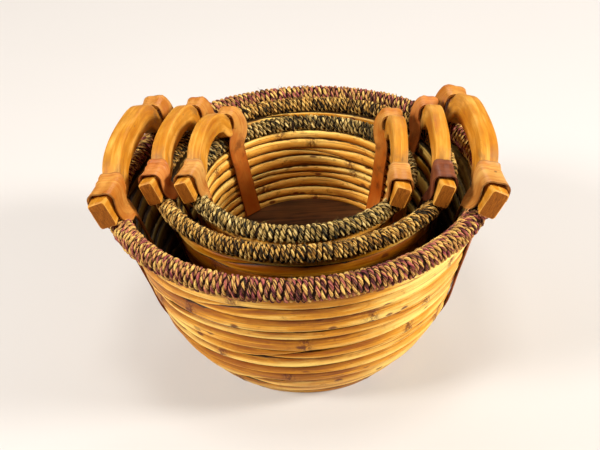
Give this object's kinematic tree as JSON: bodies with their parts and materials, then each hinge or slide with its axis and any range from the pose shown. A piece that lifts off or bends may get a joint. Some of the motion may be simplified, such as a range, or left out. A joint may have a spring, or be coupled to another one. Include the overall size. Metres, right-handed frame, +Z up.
{
  "type": "nesting storage baskets",
  "caption": "Round bowl-shaped storage baskets of stacked rattan canes, nested, with rope-wound rims, omega-shaped bent-wood handles and strap ties.",
  "frame": {"origin": "middle of the large basket's underside, where it stands on its surface", "axes": "+Z up, out of the baskets' mouths; +X towards the right-hand handles; -Y towards the viewer of the picture"},
  "size_m": [0.4227, 0.42, 0.2702],
  "materials": {
    "cane_large": "satin",
    "cane_medium": "satin",
    "cane_small": "satin",
    "rope_large": "matt twisted seagrass",
    "rope_medium": "matt twisted seagrass",
    "rope_small": "matt twisted seagrass",
    "bent_wood": "satin",
    "strap_peel": "satin",
    "floor_board": "matt"
  },
  "bodies": {
    "large_basket": {"large_cane_hoop_01": "cane_large", "large_cane_hoop_02": "cane_large", "large_cane_hoop_03": "cane_large", "large_cane_hoop_04": "cane_large", "large_cane_hoop_05": "cane_large", "large_cane_hoop_06": "cane_large", "large_cane_hoop_07": "cane_large", "large_cane_hoop_08": "cane_large", "large_cane_hoop_09": "cane_large", "large_cane_hoop_10": "cane_large", "large_cane_hoop_11": "cane_large", "large_cane_hoop_12": "cane_large", "large_floor_board": "floor_board", "large_handle_left": "bent_wood", "large_handle_right": "bent_wood", "large_rope_rim": "rope_large", "large_strap_left_far": "strap_peel", "large_strap_left_near": "strap_peel", "large_strap_right_far": "strap_peel", "large_strap_right_near": "strap_peel"},
    "medium_basket": {"medium_cane_hoop_01": "cane_medium", "medium_cane_hoop_02": "cane_medium", "medium_cane_hoop_03": "cane_medium", "medium_cane_hoop_04": "cane_medium", "medium_cane_hoop_05": "cane_medium", "medium_cane_hoop_06": "cane_medium", "medium_cane_hoop_07": "cane_medium", "medium_cane_hoop_08": "cane_medium", "medium_cane_hoop_09": "cane_medium", "medium_cane_hoop_10": "cane_medium", "medium_cane_hoop_11": "cane_medium", "medium_floor_board": "floor_board", "medium_handle_left": "bent_wood", "medium_handle_right": "bent_wood", "medium_rope_rim": "rope_medium", "medium_strap_left_far": "strap_peel", "medium_strap_left_near": "strap_peel", "medium_strap_right_far": "strap_peel", "medium_strap_right_near": "strap_peel"},
    "small_basket": {"small_cane_hoop_01": "cane_small", "small_cane_hoop_02": "cane_small", "small_cane_hoop_03": "cane_small", "small_cane_hoop_04": "cane_small", "small_cane_hoop_05": "cane_small", "small_cane_hoop_06": "cane_small", "small_cane_hoop_07": "cane_small", "small_cane_hoop_08": "cane_small", "small_cane_hoop_09": "cane_small", "small_floor_board": "floor_board", "small_handle_left": "bent_wood", "small_handle_right": "bent_wood", "small_rope_rim": "rope_small", "small_strap_left_far": "strap_peel", "small_strap_left_near": "strap_peel", "small_strap_right_far": "strap_peel", "small_strap_right_near": "strap_peel"}
  },
  "joints": [
    {"name": "medium_lift", "type": "slide", "parent": "large_basket", "child": "medium_basket", "axis": [0, 0, 1], "range_m": [0, 0.275]},
    {"name": "small_lift", "type": "slide", "parent": "medium_basket", "child": "small_basket", "axis": [0, 0, 1], "range_m": [0, 0.17]}
  ]
}
